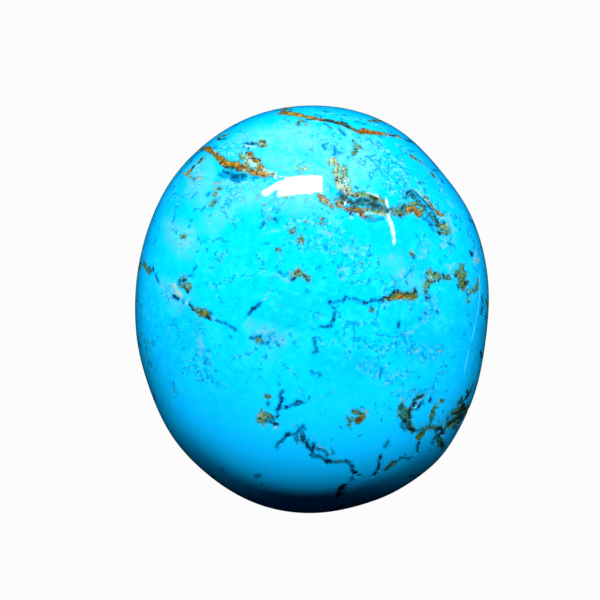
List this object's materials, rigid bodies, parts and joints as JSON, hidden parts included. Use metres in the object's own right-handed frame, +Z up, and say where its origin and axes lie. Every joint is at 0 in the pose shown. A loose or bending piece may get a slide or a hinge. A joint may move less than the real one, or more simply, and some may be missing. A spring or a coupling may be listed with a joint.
{
  "type": "turquoise cabochon",
  "caption": "Oval polished turquoise cabochon with a high smooth dome, a rounded girdle and a flat ground back.",
  "frame": {"origin": "middle of the flat back, at the centre of the stone's box seen from above", "axes": "+Z up through the dome, away from the flat back; +Y along the stone's length; +X across it"},
  "size_m": [0.0139, 0.016, 0.0059],
  "materials": {
    "polished_turquoise": "polished sky-blue turquoise with rust, olive and black matrix seams; matt lapped back"
  },
  "bodies": {
    "root": {"turquoise_cabochon": "polished_turquoise"}
  },
  "joints": []
}
